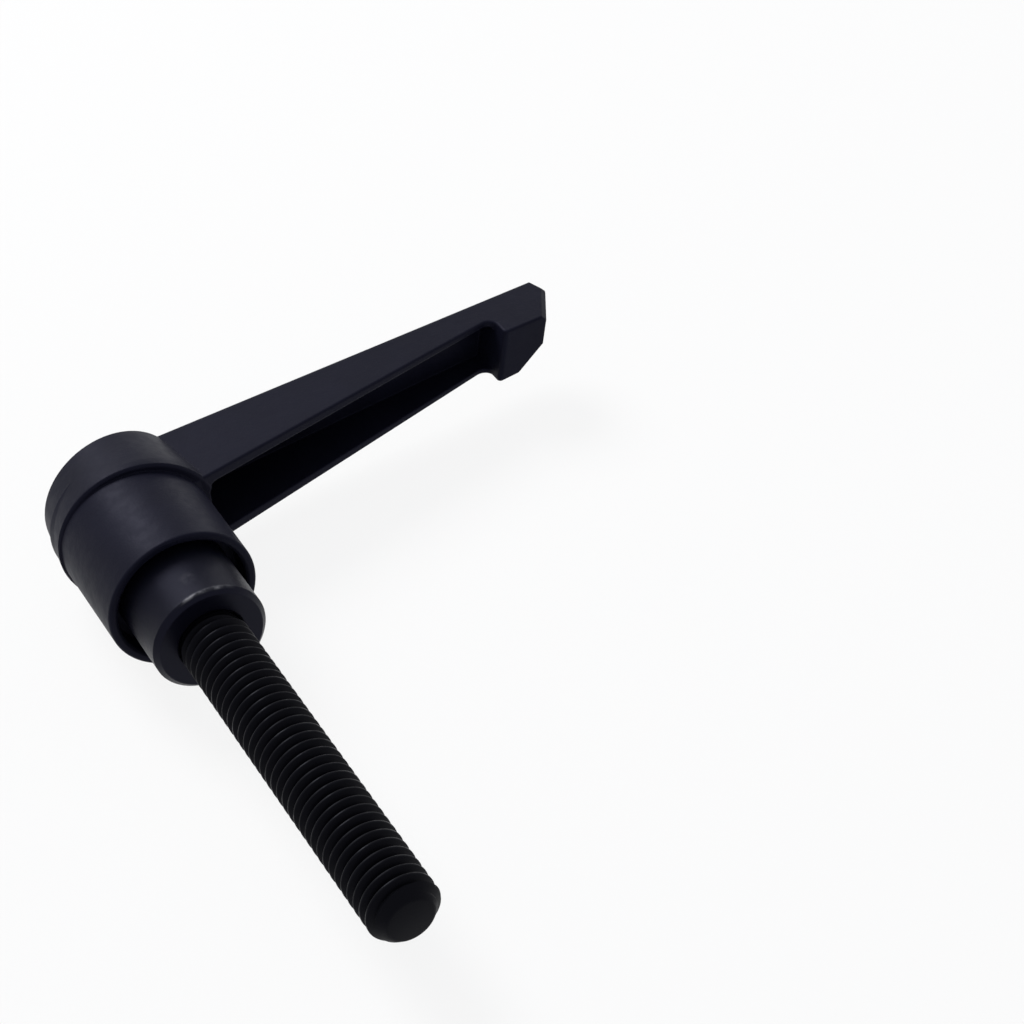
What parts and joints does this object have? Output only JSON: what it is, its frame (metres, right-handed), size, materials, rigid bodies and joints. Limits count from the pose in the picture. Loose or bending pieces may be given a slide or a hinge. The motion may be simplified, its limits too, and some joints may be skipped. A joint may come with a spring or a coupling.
{
  "type": "adjustable clamping lever",
  "caption": "Adjustable clamping lever: a tapered die-cast arm that lifts off its serrated insert to be re-indexed, on a threaded stud for clamping by hand.",
  "frame": {"origin": "on the hub's axis, in the collar's end face that bears on the clamped work", "axes": "+Y along the hub's axis towards the retaining screw's head, the stud pointing along -Y; +X along the arm; +Z square to both, the upper side face as the lever lies"},
  "size_m": [0.0514, 0.0599, 0.0144],
  "materials": {
    "powder_coated_zinc": "fine satin powder coat, blue-black",
    "blackened_steel": "black oxide, oiled, with bright wear on its end rim",
    "stud_steel": "black oxide, rolled thread",
    "spring_steel": "bright spring wire",
    "screw_steel": "black oxide, satin"
  },
  "bodies": {
    "fixed": {"threaded_stud": "stud_steel", "serrated_insert": "blackened_steel", "retaining_screw": "screw_steel"},
    "spring": {"return_spring": "spring_steel"},
    "lever": {"lever_handle": "powder_coated_zinc"}
  },
  "joints": [
    {"name": "index_turn", "type": "hinge", "parent": "fixed", "child": "spring", "pos_m": [0, 0, 0], "axis": [0, 1, 0], "continuous": true},
    {"name": "lift", "type": "slide", "parent": "spring", "child": "lever", "axis": [0, 1, 0], "range_m": [0, 0.003], "stiffness_N_per_m": 3000, "springref_m": -0.002, "deforming": ["return_spring"]}
  ]
}
